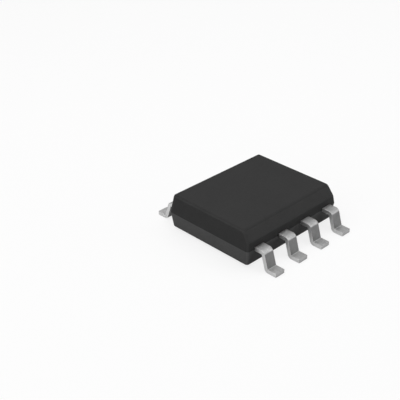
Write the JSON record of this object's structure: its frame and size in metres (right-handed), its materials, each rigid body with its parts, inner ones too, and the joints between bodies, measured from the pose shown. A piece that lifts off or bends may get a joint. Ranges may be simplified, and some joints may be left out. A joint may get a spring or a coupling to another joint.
{
  "type": "power transistor",
  "caption": "Surface-mount power switching transistor: a flat moulded body with gull-wing leads along both long sides, holding a die and its bond wires.",
  "frame": {"origin": "centre of the footprint on the seating plane, where the undersides of the feet lie", "axes": "+X along the body from lead 1 to lead 4; +Y across the leads, from the row of leads 1 to 4 (the side with the long top chamfer) to the row of leads 5 to 8; +Z away from the board"},
  "size_m": [0.005, 0.006, 0.0015],
  "materials": {
    "moulding_compound": "black epoxy moulding compound, fine matte texture from the mould",
    "tinned_leadframe": "copper alloy strip with matte tin plating",
    "solder": "soft solder, dull grey",
    "silicon": "sawn silicon, dark grey",
    "pad_metal": "aluminium metallisation",
    "wire_metal": "bare gold bond wire"
  },
  "bodies": {
    "root": {"moulded_body": "moulding_compound", "drain_leadframe": "tinned_leadframe", "source_leadframe": "tinned_leadframe", "gate_lead": "tinned_leadframe", "die_solder": "solder", "silicon_die": "silicon", "source_pad": "pad_metal", "gate_pad": "pad_metal", "gate_wire": "wire_metal", "source_wire_1": "wire_metal", "source_wire_2": "wire_metal", "source_wire_3": "wire_metal", "source_wire_4": "wire_metal", "source_wire_5": "wire_metal", "source_wire_6": "wire_metal"}
  },
  "joints": []
}
